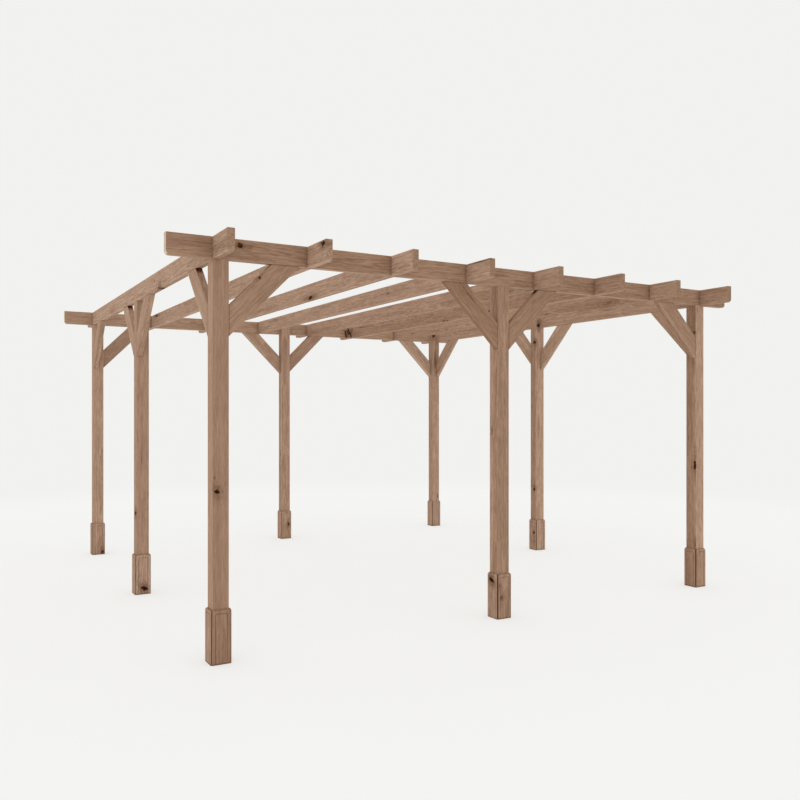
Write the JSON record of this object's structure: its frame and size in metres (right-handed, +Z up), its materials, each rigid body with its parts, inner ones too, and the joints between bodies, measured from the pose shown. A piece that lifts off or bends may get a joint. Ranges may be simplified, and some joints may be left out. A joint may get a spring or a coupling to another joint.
{
  "type": "pergola",
  "caption": "Free-standing square wooden pergola: an open roof of rafters halved into the front and back beams, on square posts with diagonal knee braces and boarded feet.",
  "frame": {"origin": "on the ground at the centre of the plan, level with the feet of the posts", "axes": "+X along the front beam to the right as seen from the front, +Y along the rafters from the front to the back, +Z up"},
  "size_m": [4.635, 4.643, 2.431],
  "materials": {
    "roof_timber": "brown stained planed softwood with knots, matt",
    "post_timber": "brown stained planed softwood with knots, matt",
    "brace_timber": "brown stained planed softwood with knots, matt",
    "trim_board": "brown stained planed softwood with knots, matt"
  },
  "bodies": {
    "root": {"beam_front": "roof_timber", "beam_back": "roof_timber", "rafter_1": "roof_timber", "rafter_2": "roof_timber", "rafter_3": "roof_timber", "rafter_4": "roof_timber", "rafter_5": "roof_timber", "rafter_6": "roof_timber", "rafter_7": "roof_timber", "rafter_8": "roof_timber", "post_front_left": "post_timber", "foot_trim_front_left": "trim_board", "brace_front_left_to_right": "brace_timber", "brace_front_left_to_back": "brace_timber", "post_front_middle": "post_timber", "foot_trim_front_middle": "trim_board", "brace_front_middle_to_left": "brace_timber", "brace_front_middle_to_right": "brace_timber", "post_front_right": "post_timber", "foot_trim_front_right": "trim_board", "brace_front_right_to_left": "brace_timber", "brace_front_right_to_back": "brace_timber", "post_left_middle": "post_timber", "foot_trim_left_middle": "trim_board", "brace_left_middle_to_front": "brace_timber", "brace_left_middle_to_back": "brace_timber", "post_right_middle": "post_timber", "foot_trim_right_middle": "trim_board", "brace_right_middle_to_front": "brace_timber", "brace_right_middle_to_back": "brace_timber", "post_back_left": "post_timber", "foot_trim_back_left": "trim_board", "brace_back_left_to_right": "brace_timber", "brace_back_left_to_front": "brace_timber", "post_back_middle": "post_timber", "foot_trim_back_middle": "trim_board", "brace_back_middle_to_left": "brace_timber", "brace_back_middle_to_right": "brace_timber", "post_back_right": "post_timber", "foot_trim_back_right": "trim_board", "brace_back_right_to_left": "brace_timber", "brace_back_right_to_front": "brace_timber"}
  },
  "joints": []
}
